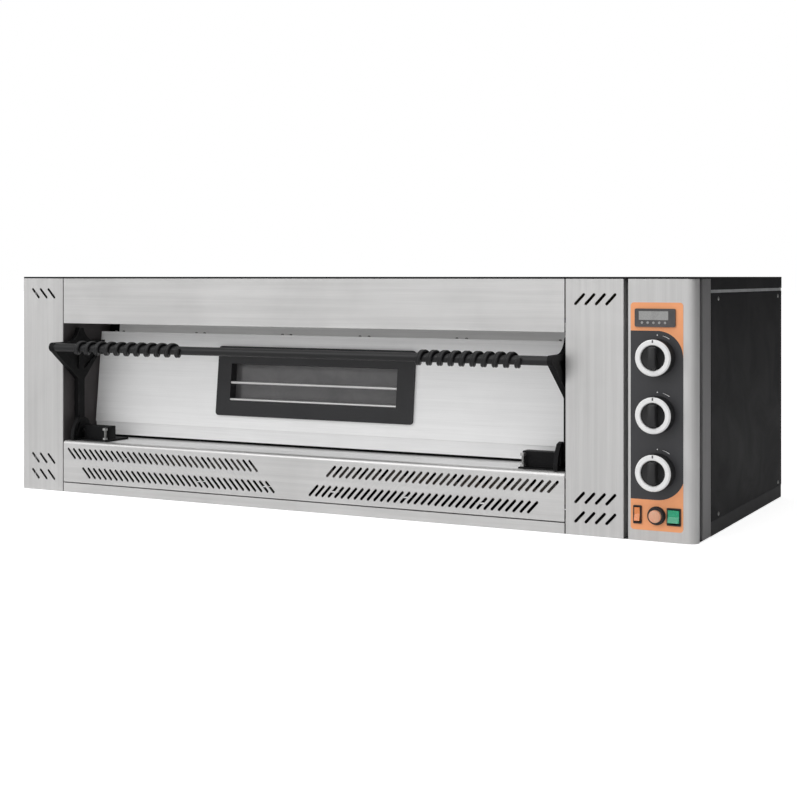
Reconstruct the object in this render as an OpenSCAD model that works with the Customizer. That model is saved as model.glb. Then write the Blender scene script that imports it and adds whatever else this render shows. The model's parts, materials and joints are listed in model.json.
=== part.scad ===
// Single-deck gas bakery oven: sheet-metal casing, recessed drop-down door with two
// side arms and a wire-wound handle, and a control column on the right.
// Origin: centre of the flat base. +X is the viewer's right, +Y the back, +Z up.

/* [Casing] */
// Width of the casing, side to side
body_w = 1300; // [1290:1:1320]
// Depth of the casing, front plane to rear panel
body_d = 550; // [540:1:620]
// Height of the casing
body_h = 400; // [398:1:410]
// Thickness of the folded sheets
sheet = 1.5; // [1:0.1:2]
// Width of the control column, with the groove beside it
control_w = 106.5; // [104:0.5:108]
// Width of each front post
post_w = 93; // [91:0.5:94]
// Height of the underside of the top rail
rail_z = 313.7; // [312:0.1:318]
// Height of the top of the grille panel
grille_top = 95; // [93:0.5:95]
// Height of the seam between the grille panel and the bottom strip
strip_top = 16.5; // [14:0.5:18]

/* [Door] */
// How far the closed door leans back, in degrees
door_lean = 6; // [4:0.5:8]
// Distance of the door's lower edge behind the front plane
door_setback = 90; // [88:0.5:92]
// Height of the door's main panel, along its slope
door_height = 172; // [168:1:173]
// Thickness of the door
door_thick = 28; // [26:0.5:28]
// Distance of the hinge axis behind the front plane
hinge_depth = 37; // [36:0.5:40]
// Height of the hinge axis
hinge_z = 112; // [111:0.5:113]
// Diameter of the hinge pins
hinge_pin_d = 10; // [9:0.5:10]
// How far the handle bar stands in front of the casing
handle_reach = 36; // [34:1:40]
// Height of the handle bar
handle_z = 270.5; // [269:0.5:272]
// Diameter of the handle bar
handle_d = 15; // [14:0.5:16]

/* [Chamber] */
// Height of the baking surface
deck_z = 175; // [174:0.5:176]
// Height of the chamber ceiling
ceiling_z = 322; // [320:1:323]
// Diameter of the flue collar
flue_d = 100; // [90:1:100]

/* [Controls] */
// Diameter of the white ring on each knob
ring_d = 55; // [53:0.5:56]
// How far a knob stands out
knob_reach = 25; // [23:0.5:27]
// Height of the lowest knob
knob_low_z = 105.8; // [105:0.1:107]
// Distance from one knob to the next
knob_pitch = 86.3; // [86:0.1:87]
// Travel of the push button
button_travel = 3.5; // [2:0.5:3.5]
// How far each rocker tips to either side of its middle, in degrees
rocker_tilt = 6; // [4:0.5:6]

/* [Hidden] */
$fn = 48;

// Casing
front_y = -body_d / 2;
back_y = body_d / 2;
side_x = body_w / 2;
seam = 2;
gap = 0.2;
cover_thick = 3;
cover_lip = 20;
under_cover = body_h - cover_thick - gap;
lip_z = body_h - cover_lip;
trim_z = lip_z - 5;
skirt_z = 22;
corner_r = 14;
upright_front = 33;
upright_back = 77;
panel_front = 80;
screw_depths = [120, 520];
screw_heights = [30, 366];
screw_grip = 3.7;
opening_left = -side_x + post_w + 1;
opening_right = side_x - control_w - 7.5 - post_w - 1;
opening_mid = (opening_left + opening_right) / 2;
post_right_end = side_x - control_w - 7.5;
fascia_left = side_x - control_w;
lining_top = 330;
sill_z = grille_top - 1.7;

// Slots: overall length, width, slant from vertical. On a post: first X, pitch, number
slot_len = 26.5;
slot_w = 4.6;
slot_slant = 43;
grille_pitch = 12.5;
grille_slots = 33;
left_slots = [-620.8, 18.7, 3];
left_slot_rows = [29.4, 59.6, 368.9];
right_slots = [465, 16.9, 4];
right_slot_rows = [28.1, 58.2, 365.4];

// Door, in its own leaning frame: u up the slope, n through the thickness
door_z = 124;
door_gap = 5;
door_half = (opening_right - opening_left) / 2 - door_gap;
return_d = 14;
inner_inset = 12;
inner_low = 4;
inner_high = 158;
window_left = -273.5;
window_right = 129.5;
window_low = 23;
window_high = 149.5;
glass_left = -244;
glass_right = 97;
glass_low = 50;
glass_high = 118;
sleeve_wall = 8;
pane_depths = [13, 21];
bar_heights = [52.8, 83.5];
bar_d = 5;
arm_thick = 10;
arm_left_x = opening_left + 4.2;
arm_head_z = 279;
leg_w = 17;
bracket_w = 87;
screw_pairs = [80, 268, 455];
screw_half_pitch = 9;
pin_slack = 0.05;

// Handle coils, measured from the middle of the opening
left_coil = [-446, -200];
right_coil = [250, 444];
coil_wire = 6;
coil_r = 10.5;
wire_step = 2.9;
left_turns = 11;
right_turns = 10;

// Chamber
chamber_left = -516;
chamber_right = 402;
liner_front = 146;
liner_back = 522;
stone_thick = 20;
stone_front = 162;
stone_back = 518;
stone_count = 4;
stone_gap = 1.5;
burner_z = 100;
burner_r = 19;
floor_burner_depths = [250, 430];
roof_burner_depth = 340;
roof_burner_z = 302;
roof_burner_r = 15;
burner_end = 470;
lamp_depth = 430;
lamp_z = 285;
flue_z = 268;
flue_out = 35;

// Controls
knob_x = 589.5;
knob_zs = [knob_low_z, knob_low_z + knob_pitch, knob_low_z + 2 * knob_pitch];
overlay_thick = 0.5;
overlay_left = 547.6;
overlay_right = 629.5;
overlay_low = 16.3;
overlay_high = 361.2;
band_r = 40;
band_low_r = 43;
display = [554.7, 324.2, 63.4, 27.7];
screen = [560.9, 334.6, 46.2, 13.6];
key_count = 5;
lamp_rocker_at = [558.7, 39.4];
lamp_rocker_size = [13.3, 27.8];
main_rocker_at = [615.4, 39];
main_rocker_size = [22, 26.6];
rocker_margin = 2.2;
rocker_axis_depth = 3;
trunnion_r = 1.2;
button_at = [588.6, 39.3];
button_r = 9.5;
button_reach = 14;
shaft_r = 4;
riser_depth = 75;
pipe_z = 60;
gland_x = 618;
inlet_r = 10.48;
inlet_out = 18;

function at_depth(d) = front_y + d;
function mirrored(x) = 2 * opening_mid - x;

// A plate between two X values, two depths and two heights
module plate(x0, x1, d0, d1, z0, z1) {
  translate([x0, at_depth(d0), z0]) cube([x1 - x0, d1 - d0, z1 - z0]);
}

// Puts a 2D outline, drawn in X and Z, between two depths
module facing(d0, d1) {
  translate([0, at_depth(d1), 0]) rotate([90, 0, 0]) linear_extrude(d1 - d0) children();
}

// Puts a 2D outline, drawn in depth and height, between two X values
module sideways(x0, x1) {
  translate([x0, front_y, 0]) rotate([90, 0, 90]) linear_extrude(x1 - x0) children();
}

// Cylinders along Y, X and Z
module along_y(x, z, d0, d1, r) {
  translate([x, at_depth(d0), z]) rotate([-90, 0, 0]) cylinder(r = r, h = d1 - d0);
}
module along_x(x0, x1, d, z, r) {
  translate([x0, at_depth(d), z]) rotate([0, 90, 0]) cylinder(r = r, h = x1 - x0);
}
module along_z(x, d, z0, z1, r) {
  translate([x, at_depth(d), z0]) cylinder(r = r, h = z1 - z0);
}

// The leaning frame of the closed door
module on_door() {
  translate([0, at_depth(door_setback), door_z]) rotate([-door_lean, 0, 0]) children();
}
module door_plate(x0, x1, n0, n1, u0, u1) {
  on_door() translate([x0, n0, u0]) cube([x1 - x0, n1 - n0, u1 - u0]);
}

// Both of a mirrored pair, about the middle of the casing or of the opening
module both_sides() {
  children();
  mirror([1, 0, 0]) children();
}
module both_ends() {
  children();
  translate([2 * opening_mid, 0, 0]) mirror([1, 0, 0]) children();
}

module rounded(x0, z0, w, h, r) {
  translate([x0 + r, z0]) square([w - 2 * r, h]);
  translate([x0, z0 + r]) square([w, h - 2 * r]);
  for (x = [x0 + r, x0 + w - r], z = [z0 + r, z0 + h - r]) translate([x, z]) circle(r = r);
}

// One slanted louvre slot; side is 1 for a slot that rises to the right
module slot_cut(x, z, side, length) {
  translate([x, z]) rotate(-side * slot_slant) {
    square([slot_w, length - slot_w], center = true);
    for (end = [-1, 1]) translate([0, end * (length - slot_w) / 2]) circle(d = slot_w, $fn = 16);
  }
}

// Casing

module base_pan() color("#2b2b2e") {
  difference() {
    union() {
      plate(-side_x + 1.7, side_x - 1.7, 1.7, body_d - 1.7, 0, sheet);
      both_sides() plate(side_x - 2.2, side_x - 0.7, panel_front, body_d - 1.7, 0, skirt_z);
      plate(-side_x + 2, side_x - 2, body_d - 3.2, body_d - 1.7, 0, skirt_z);
    }
    plate(side_x - corner_r - 0.3, side_x, 0, corner_r + 2.3, -1, sheet + 1);
    for (x = [-400, -250, -100, 50, 200, 350], d = [220, 320, 420])
      along_z(x, d, -1, sheet + 1, 12);
  }
}

module rear_panel() color("#b9bcbe") {
  difference() {
    plate(-side_x + 1.7, side_x - 1.7, body_d - sheet, body_d, 0, lip_z - gap);
    along_y(opening_mid, flue_z, body_d - 3, body_d + 1, flue_d / 2 + 0.5);
    along_y(knob_x, pipe_z, body_d - 3, body_d + 1, inlet_r + 1.5);
    along_y(gland_x, pipe_z, body_d - 3, body_d + 1, 8.2);
    facing(body_d - 3, body_d + 1)
      for (i = [-17:17], z = [70, 110])
        translate([opening_mid + i * 22 - 4, z]) square([8, 28]);
  }
}

module side_panel() color("#232326") {
  difference() {
    union() {
      plate(side_x - sheet, side_x, panel_front, body_d - 1.7, skirt_z + 0.6, trim_z - gap);
      plate(side_x - 12, side_x - sheet, panel_front, panel_front + sheet, skirt_z + 0.6, trim_z - gap);
    }
    for (d = screw_depths, z = screw_heights) along_x(side_x - 3, side_x + 1, d, z, 2.6);
  }
}
module right_side_panel() side_panel();
module left_side_panel() mirror([1, 0, 0]) side_panel();

module top_cover() color("#29292c") {
  plate(-side_x, side_x, 0, body_d, body_h - cover_thick, body_h);
  both_sides() plate(side_x - sheet, side_x, panel_front - 1, body_d, lip_z, body_h - cover_thick);
  plate(-side_x, side_x, body_d - sheet, body_d, lip_z, body_h - cover_thick);
}

module side_trims() color("#c9c9c9") {
  both_sides() plate(side_x - 2.2, side_x - 0.6, panel_front, body_d - 1.7, trim_z, lip_z - gap);
}

module corner_uprights() color("#5e5c5e") {
  both_sides() {
    plate(side_x - sheet, side_x, upright_front, upright_back, 1.7, under_cover);
    plate(side_x - 28, side_x - sheet, upright_front, upright_front + sheet, 1.7, under_cover);
    plate(side_x - 12, side_x - sheet, upright_back - sheet, upright_back, 1.7, under_cover);
  }
}

module left_post() color("#cccbca") {
  difference() {
    plate(-side_x, opening_left, 0, sheet, 0, under_cover);
    facing(-1, 3)
      for (i = [0:left_slots[2] - 1], z = left_slot_rows)
        slot_cut(left_slots[0] + i * left_slots[1], z, -1, slot_len - 1.5);
  }
  plate(-side_x, -side_x + sheet, sheet, upright_front - 2, 1.7, under_cover);
  plate(opening_left - sheet, opening_left, sheet, 25, 1.7, under_cover);
}

module right_post() color("#cccbca") {
  difference() {
    plate(opening_right, post_right_end, 0, sheet, 0, under_cover);
    facing(-1, 3)
      for (i = [0:right_slots[2] - 1], z = right_slot_rows)
        slot_cut(right_slots[0] + i * right_slots[1], z, 1, slot_len - 2.5);
  }
  plate(opening_right, opening_right + sheet, sheet, 25, 1.7, under_cover);
  plate(post_right_end - sheet, post_right_end, sheet, 25, 1.7, under_cover);
}

module top_rail() color("#cecdcd") {
  plate(opening_left + seam, opening_right - seam, 0, sheet, rail_z, under_cover);
  plate(opening_left + seam, opening_right - seam, sheet, 12, rail_z, rail_z + sheet);
  plate(opening_left + seam, opening_right - seam, sheet, 20, under_cover - sheet, under_cover);
}

module grille_row(first, z, length) {
  for (i = [0:grille_slots - 1], side = [-1, 1])
    slot_cut(opening_mid + side * (first + i * grille_pitch), z, side, length);
}

module grille_panel() color("#c6c5c5") {
  fold_r = 6;
  x0 = opening_left + seam;
  x1 = opening_right - seam;
  difference() {
    plate(x0, x1, 0, sheet, strip_top + seam, grille_top - fold_r);
    facing(-1, 3) {
      grille_row(78, 71.7, slot_len);
      grille_row(43.7, 37.4, slot_len);
    }
  }
  sideways(x0, x1) intersection() {
    difference() {
      translate([fold_r, grille_top - fold_r]) circle(r = fold_r);
      translate([fold_r, grille_top - fold_r]) circle(r = fold_r - sheet);
    }
    translate([0, grille_top - fold_r]) square([fold_r, fold_r]);
  }
  plate(x0, x1, fold_r, 14, grille_top - sheet, grille_top);
  plate(x0, x1, sheet, 12, strip_top + seam, strip_top + seam + sheet);
}

module bottom_strip() color("#bdbcbc") {
  plate(opening_left + seam, opening_right - seam, 0, sheet, 0, strip_top);
  plate(opening_left + seam, opening_right - seam, sheet, 12, strip_top - sheet, strip_top);
}

module sill() color("#a8a7a7") {
  plate(opening_left + 2, opening_right - 2, 14.5, 112, sill_z - sheet, sill_z);
  plate(opening_left + 2, opening_right - 2, 14.5, 16, sill_z - 9, sill_z - sheet);
}

module recess_lining() color("#413f41") {
  lining_back = 150;
  both_ends() plate(opening_left + 0.1, opening_left + 1.1, 2, lining_back, sill_z - 20, lining_top);
  plate(opening_left + 0.1, opening_right - 0.1, 21, lining_back, lining_top, lining_top + sheet);
}

// Black frame round the chamber mouth, parallel to the closed door
module mouth_frame() color("#1d1d1f") {
  stile_w = 44;
  difference() {
    door_plate(opening_left + 2, opening_right - 2, door_thick + 0.6, door_thick + 2.6, -28, 206);
    door_plate(opening_left + 2 + stile_w, opening_right - 2 - stile_w,
               door_thick - 1, door_thick + 4, 53, inner_high);
  }
}

module lintel_strip() color("#d2d1d1") {
  stile_w = 24;
  door_plate(opening_left + 2 + stile_w, opening_right - 2 - stile_w,
             door_thick - 0.6, door_thick + 0.5, inner_high + 2, 204);
}

// Chamber

module chamber_liner() color("#8f8c88") {
  x0 = chamber_left - sheet;
  x1 = chamber_right + sheet;
  difference() {
    union() {
      plate(x0, chamber_left, liner_front, liner_back + sheet, 20, ceiling_z);
      plate(chamber_right, x1, liner_front, liner_back + sheet, 20, ceiling_z);
      plate(x0, x1, liner_front, liner_back + sheet, ceiling_z, ceiling_z + sheet);
      plate(chamber_left, chamber_right, liner_back, liner_back + sheet, 20, ceiling_z);
      plate(chamber_left, chamber_right, 158.5, 160, 20, 149);
    }
    along_y(opening_mid, flue_z, liner_back - 2, liner_back + 4, flue_d / 2 - 2);
    for (d = floor_burner_depths) along_x(chamber_right - 1, x1 + 1, d, burner_z, burner_r + 0.3);
    along_x(chamber_right - 1, x1 + 1, roof_burner_depth, roof_burner_z, roof_burner_r + 0.3);
    along_x(chamber_right - 1, x1 + 1, lamp_depth, lamp_z, 20.3);
    for (i = [-9:9]) along_y(opening_mid + i * 48, 55, 157, 161, 11);
  }
}

module deck_stones() color("#cdbfa6") {
  width = (chamber_right - chamber_left - 4 - (stone_count - 1) * stone_gap) / stone_count;
  for (i = [0:stone_count - 1]) {
    x = chamber_left + 2 + i * (width + stone_gap);
    plate(x, x + width, stone_front, stone_back, deck_z - stone_thick, deck_z);
  }
}

module stone_rails() color("#b4b2ae") {
  low = deck_z - stone_thick - 5;
  for (d = [stone_front + 2, 333, stone_back - 14])
    plate(chamber_left + 1, chamber_right - 1, d, d + 12, low, low + 4.8);
  plate(chamber_left + 8, chamber_right - 8, 133, stone_front - 1, deck_z - 3, deck_z - 1);
  plate(chamber_left + 8, chamber_right - 8, stone_front - 2.5, stone_front - 1, low, deck_z - 3);
  plate(chamber_left + 1, chamber_right - 1, stone_front - 2.5, stone_front + 2, low, low + 1.5);
  plate(chamber_left + 1, chamber_right - 1, liner_back - 2, liner_back - 0.5, low, deck_z + 7);
  plate(chamber_left + 1, chamber_right - 1, stone_back - 2, liner_back - 2, low, low + 1.5);
}

module insulation_blanket() color("#d9cf9f") {
  low = 130;
  difference() {
    union() {
      plate(-side_x + 4, 536, 152, body_d - 3.5, ceiling_z + 2.5, under_cover - 1);
      plate(-side_x + 4, chamber_left - 2.5, liner_front + 6, body_d - 3.5, low, ceiling_z + 1.5);
      plate(chamber_right + 2.5, 534, liner_front + 6, body_d - 3.5, low, ceiling_z + 1.5);
      plate(chamber_left - 1.5, chamber_right + 1.5, liner_back + 2.5, body_d - 3.5, 30, ceiling_z + 1.5);
    }
    along_y(opening_mid, flue_z, liner_back, body_d, flue_d / 2 + 1);
    along_x(chamber_right, 540, lamp_depth, lamp_z, 24);
    along_x(chamber_right, 540, roof_burner_depth, roof_burner_z, roof_burner_r + 4);
  }
}

// A burner tube along X, closed at its far end, with a venturi mouth and a row of ports
module burner(depth, z, r) {
  difference() {
    union() {
      along_x(chamber_left + 30, burner_end - 40, depth, z, r);
      along_x(burner_end - 40, burner_end - 6, depth, z, r * 0.7);
      along_x(burner_end - 6, burner_end, depth, z, r);
    }
    along_x(chamber_left + 32, burner_end - 42, depth, z, r - 2);
    along_x(burner_end - 43, burner_end + 1, depth, z, r * 0.7 - 2);
    for (i = [0:25]) along_z(chamber_left + 60 + i * 32, depth, z, z + r + 1, 2.5);
  }
}
module floor_burners() color("#8a8580") {
  for (d = floor_burner_depths) burner(d, burner_z, burner_r);
}
module roof_burner() color("#8a8580")
  translate([0, 0, 2 * roof_burner_z]) mirror([0, 0, 1])
    burner(roof_burner_depth, roof_burner_z, roof_burner_r);

// A branch pipe from the riser to a burner mouth: back along Y, then across along X
module branch(depth, z) {
  along_y(knob_x, z, riser_depth, depth, 5);
  translate([knob_x, at_depth(depth), z]) sphere(r = 5);
  along_x(burner_end + 8, knob_x, depth, z, 5);
  along_x(burner_end + 2, burner_end + 8, depth, z, 3);
}

module gas_manifold() color("#b08d4a") {
  along_z(knob_x, riser_depth, pipe_z - 8, 306, 9);
  for (z = knob_zs) along_y(knob_x, z, 66.2, riser_depth, 6);
  along_y(knob_x, pipe_z, riser_depth, body_d + 2, 9);
  along_y(knob_x, pipe_z, body_d + 2, body_d + inlet_out, inlet_r);
  for (d = floor_burner_depths) branch(d, burner_z);
  branch(roof_burner_depth, roof_burner_z);
}

module gas_taps() color("#a9a6a0") {
  for (z = knob_zs) difference() {
    union() {
      along_y(knob_x, z, 3, 26, 8);
      along_y(knob_x, z, 26, 66, 14);
      along_z(knob_x, 48, z - 20, z - 10, 6);
    }
    along_y(knob_x, z, 2, 40, shaft_r + pin_slack);
  }
}

module cable_gland() color("#3a3a3c") {
  difference() {
    union() {
      along_y(gland_x, pipe_z, body_d, body_d + 8, 12);
      along_y(gland_x, pipe_z, body_d - 12, body_d + 22, 8);
      along_y(gland_x, pipe_z, body_d - 8, body_d - 2, 11);
    }
    along_y(gland_x, pipe_z, body_d - 13, body_d + 23, 4);
  }
}

module flue_duct() color("#a7a9aa") {
  difference() {
    union() {
      along_y(opening_mid, flue_z, liner_back + sheet + 0.2, body_d + 1, flue_d / 2 - 0.5);
      along_y(opening_mid, flue_z, body_d + 0.1, body_d + 1.6, flue_d / 2 + 14);
      along_y(opening_mid, flue_z, body_d + 1.6, body_d + flue_out, flue_d / 2);
    }
    along_y(opening_mid, flue_z, liner_back, body_d + flue_out + 1, flue_d / 2 - 2);
  }
}

module chamber_lamp() color("#e6e2d2") {
  along_x(chamber_right - 9, chamber_right, lamp_depth, lamp_z, 17);
  translate([chamber_right - 9, at_depth(lamp_depth), lamp_z]) sphere(r = 12);
  along_x(chamber_right, chamber_right + 60, lamp_depth, lamp_z, 20);
}

// Control column

module control_holes(grow) {
  for (z = knob_zs) translate([knob_x, z]) circle(r = 8.5 + grow);
  translate(button_at) circle(r = 8 + grow);
  for (r = [[lamp_rocker_at, lamp_rocker_size], [main_rocker_at, main_rocker_size]])
    translate(r[0]) square([r[1][0] - 1 + grow, r[1][1] - 1 + grow], center = true);
}

module control_fascia() color("#d0cfcf") {
  difference() {
    plate(fascia_left, side_x - corner_r, 0, sheet, 0, under_cover);
    facing(-1, 3) control_holes(0);
  }
  translate([side_x - corner_r, at_depth(corner_r), 0]) intersection() {
    difference() {
      cylinder(r = corner_r, h = under_cover);
      translate([0, 0, -1]) cylinder(r = corner_r - sheet, h = under_cover + 2);
    }
    translate([0, -corner_r - 1, 0]) cube([corner_r + 1, corner_r + 1, under_cover]);
  }
  plate(side_x - sheet, side_x, corner_r, corner_r + 2, 1.7, under_cover);
  plate(fascia_left, fascia_left + sheet, sheet, 60, 1.7, under_cover);
}

module heat_shield() color("#b9bcbe") {
  difference() {
    plate(537, 538.5, 27, body_d - 3.5, 1.7, under_cover - 1);
    for (d = floor_burner_depths) along_x(536, 540, d, burner_z, 6);
    along_x(536, 540, roof_burner_depth, roof_burner_z, 6);
  }
}

// The charcoal field: its corners on the right are arcs about the top and bottom knobs
module charcoal_field() {
  top_z = knob_zs[2];
  low_z = knob_zs[0];
  difference() {
    translate([overlay_left, low_z - band_low_r])
      square([overlay_right - overlay_left, top_z + band_r - low_z + band_low_r]);
    difference() {
      translate([knob_x, top_z]) square([60, 60]);
      translate([knob_x, top_z]) circle(r = band_r);
    }
    difference() {
      translate([knob_x, low_z - 60]) square([60, 60]);
      translate([knob_x, low_z]) circle(r = band_low_r);
    }
  }
}

module overlay_charcoal() color("#313134") {
  facing(-overlay_thick, 0) difference() {
    charcoal_field();
    control_holes(0);
  }
}

module overlay_orange() color("#f5a875") {
  facing(-overlay_thick, 0) difference() {
    rounded(overlay_left, overlay_low, overlay_right - overlay_left, overlay_high - overlay_low, 5);
    charcoal_field();
    control_holes(0);
  }
}

module display_bezel() color("#4f4e4f") {
  difference() {
    facing(-3, -overlay_thick) rounded(display[0], display[1], display[2], display[3], 2.5);
    plate(screen[0], screen[0] + screen[2], -4, -1.5, screen[1], screen[1] + screen[3]);
  }
  for (i = [0:key_count - 1]) along_y(566.4 + i * 9, 330.6, -3.8, -3, 2);
}

module display_screen() color("#979696") {
  plate(screen[0] + 0.1, screen[0] + screen[2] - 0.1, -2.7, -1.5,
        screen[1] + 0.1, screen[1] + screen[3] - 0.1);
}

// A snap-in frame round a rocker switch, and the box behind it
module rocker_frame(at, size) {
  open_w = size[0] - 2 * rocker_margin;
  open_h = size[1] - 2 * rocker_margin;
  difference() {
    union() {
      facing(-3, -overlay_thick) rounded(at[0] - size[0] / 2, at[1] - size[1] / 2, size[0], size[1], 1.5);
      facing(-overlay_thick, 14) translate(at) square([size[0] - 2, size[1] - 2], center = true);
    }
    facing(-4, 12) translate(at) square([open_w, open_h], center = true);
    along_x(at[0] - size[0] / 2, at[0] + size[0] / 2, rocker_axis_depth, at[1], trunnion_r + pin_slack);
  }
}
module rocker_frames() color("#202022") {
  rocker_frame(lamp_rocker_at, lamp_rocker_size);
  rocker_frame(main_rocker_at, main_rocker_size);
}

// A rocker on two trunnions, tipped to its rest side about an axis along X
module rocker(at, size) {
  w = size[0] - 2 * rocker_margin - 0.6;
  h = (size[1] - 2 * rocker_margin) / 2 - 1.6;
  translate([at[0] - w / 2, at_depth(rocker_axis_depth), at[1]]) rotate([-rocker_tilt, 0, 0])
    rotate([90, 0, 90]) linear_extrude(w)
      polygon([[-9, h], [-7, 0], [-9, -h], [-1, -h], [4, 0], [-1, h]]);
  along_x(at[0] - w / 2 - 1.3, at[0] + w / 2 + 1.3, rocker_axis_depth, at[1], trunnion_r);
}
module lamp_rocker() color("#f0904e") rocker(lamp_rocker_at, lamp_rocker_size);
module main_rocker() color("#2ea67c") rocker(main_rocker_at, main_rocker_size);

module button_bezel() color("#1c1c1e") {
  x = button_at[0];
  z = button_at[1];
  difference() {
    union() {
      along_y(x, z, -3.5, -overlay_thick, 14);
      along_y(x, z, -8, -3.5, 12.6);
      along_y(x, z, -overlay_thick, 22, 7.8);
    }
    along_y(x, z, -9, -1.8, button_r + pin_slack);
    along_y(x, z, -2, 23, shaft_r + pin_slack);
  }
}

module push_button() color("#e6b192") {
  x = button_at[0];
  z = button_at[1];
  along_y(x, z, -button_reach, -1.8 - button_travel - 0.2, button_r);
  along_y(x, z, -6, 18, shaft_r);
}

// Knob with finger bar; the hub is the spindle that turns in the tap
module knob(z) color("#242426") {
  r = ring_d / 2;
  difference() {
    union() {
      along_y(knob_x, z, -knob_reach + 3, -overlay_thick - 0.5, r + 0.5);
      facing(-knob_reach - 7, -knob_reach + 3) translate([knob_x, z])
        rounded(-6, -r + 9, 12, ring_d - 18, 3);
    }
    along_y(knob_x, z, -5, 0, r - 3);
  }
  along_y(knob_x, z, -6, 38, shaft_r);
}
module knob_top() knob(knob_zs[2]);
module knob_middle() knob(knob_zs[1]);
module knob_bottom() knob(knob_zs[0]);

// Bevelled ring on the face of a knob, with a pointer notch at the top
module ring(z) color("#efefef") {
  r = ring_d / 2;
  translate([knob_x, at_depth(-knob_reach + 3), z]) rotate([90, 0, 0]) difference() {
    rotate_extrude() polygon([[r - 8.5, 0], [r, 0], [r, 1.2], [r - 2, 3.2], [r - 7.5, 3.2], [r - 8.5, 2]]);
    translate([-1.2, r - 5, 2.4]) cube([2.4, 6, 3]);
  }
}
module ring_top() ring(knob_zs[2]);
module ring_middle() ring(knob_zs[1]);
module ring_bottom() ring(knob_zs[0]);

// Door and its hinges

// Fixed bracket on the sill: base, gusset ear on the inner side of the arm, long block
module hinge_bracket() {
  ear = arm_left_x + arm_thick + 0.5;
  base_top = sill_z + 4.2;
  plate(opening_left + 2.4, opening_left + bracket_w, 16, 85, sill_z + 0.1, base_top);
  plate(ear + 11, opening_left + bracket_w - 2, 30, 49, base_top, hinge_z + 10);
  difference() {
    sideways(ear, ear + 8) difference() {
      polygon([[3, grille_top + 1], [3, 104], [7, 120], [18, 137], [30, 140], [46, 133],
               [56, 118], [80, 106], [80, sill_z + 0.1], [16, sill_z + 0.1], [16, grille_top + 1]]);
      polygon([[11, 103], [17, 103], [19, 116], [24, 128], [19, 127], [13, 117]]);
    }
    along_x(ear - 1, ear + 9, hinge_depth, hinge_z, hinge_pin_d / 2);
  }
}
module hinge_brackets() color("#18181a") both_ends() hinge_bracket();

module hinge_pins() color("#8d8d8f") both_ends() {
  along_x(arm_left_x - 1.6, arm_left_x - 0.1, hinge_depth, hinge_z, 8);
  along_x(arm_left_x - 0.1, arm_left_x + arm_thick + 10.5, hinge_depth, hinge_z, hinge_pin_d / 2);
}

// Levelling bolt beside each bracket, with its lock nut
module hinge_bolts() color("#d5d4d2") both_ends() {
  x = opening_left + bracket_w - 6;
  bolt_depth = 23;
  base_top = sill_z + 4.2;
  along_z(x, bolt_depth, base_top, hinge_z + 3, 2.5);
  along_z(x, bolt_depth, base_top, base_top + 4, 4.5);
  translate([x, at_depth(bolt_depth), hinge_z + 3]) cylinder(r = 5, h = 4.5, $fn = 6);
}

module panel_screws() color("#9c9c9e") {
  both_sides() for (d = screw_depths, z = screw_heights) {
    along_x(side_x - screw_grip, side_x, d, z, 2.5);
    along_x(side_x, side_x + 1.2, d, z, 3.4);
  }
}

module window_cut() {
  door_plate(glass_left - sleeve_wall - 0.3, glass_right + sleeve_wall + 0.3, -2, door_thick + 1,
             glass_low - sleeve_wall - 0.3, glass_high + sleeve_wall + 0.3);
}

module door_outer_panel() color("#d7d7d7") {
  x0 = opening_mid - door_half;
  x1 = opening_mid + door_half;
  low_tip = -22;
  difference() {
    union() {
      door_plate(x0, x1, 0, sheet, 0, door_height);
      door_plate(x0, x1, sheet, return_d, door_height - sheet, door_height);
      door_plate(x0, x1, sheet, return_d, 0, sheet);
      door_plate(x0, x0 + sheet, sheet, return_d, sheet, door_height - sheet);
      door_plate(x1 - sheet, x1, sheet, return_d, sheet, door_height - sheet);
      on_door() translate([x0, 0, 0]) rotate([90, 0, 90]) linear_extrude(x1 - x0)
        polygon([[2, 0], [3.5, 0], [8.5, low_tip], [return_d, low_tip], [return_d, low_tip - sheet],
                 [7, low_tip - sheet]]);
    }
    window_cut();
  }
}

module door_inner_panel() color("#a9a8a6") {
  x0 = opening_mid - door_half + inner_inset;
  x1 = opening_mid + door_half - inner_inset;
  difference() {
    union() {
      door_plate(x0, x1, door_thick - sheet, door_thick, inner_low, inner_high);
      for (u = [inner_low, inner_high - sheet])
        door_plate(x0, x1, return_d + 1, door_thick - sheet, u, u + sheet);
      for (x = [x0, x1 - sheet])
        door_plate(x, x + sheet, return_d + 1, door_thick - sheet, inner_low, inner_high);
    }
    window_cut();
  }
}

module door_core() color("#d9cf9f") {
  margin = inner_inset + 3;
  difference() {
    door_plate(opening_mid - door_half + margin, opening_mid + door_half - margin,
               sheet + 0.5, door_thick - sheet - 0.5, inner_low + 3, inner_high - 3);
    window_cut();
  }
}

// Bezel with rounded corners and a sleeve through the door that holds both panes
module window_frame() color("#363639") {
  difference() {
    union() {
      on_door() rotate([90, 0, 0]) linear_extrude(5)
        rounded(window_left, window_low, window_right - window_left, window_high - window_low, 6);
      door_plate(glass_left - sleeve_wall, glass_right + sleeve_wall, 0, door_thick - 0.5,
                 glass_low - sleeve_wall, glass_high + sleeve_wall);
    }
    door_plate(glass_left, glass_right, -6, door_thick + 1, glass_low, glass_high);
    for (n = pane_depths)
      door_plate(glass_left - 4, glass_right + 4, n - 0.1, n + 4.1, glass_low - 4, glass_high + 4);
  }
}

module window_bars() color("#b9b8b8") {
  for (u = bar_heights)
    on_door() translate([glass_left + 0.2, -2, u]) rotate([0, 90, 0])
      cylinder(d = bar_d, h = glass_right - glass_left - 0.4);
}

module window_glass() color("#5a5a5c", 0.5) {
  for (n = pane_depths)
    door_plate(glass_left - 3.8, glass_right + 3.8, n, n + 4, glass_low - 3.8, glass_high + 3.8);
}

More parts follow.
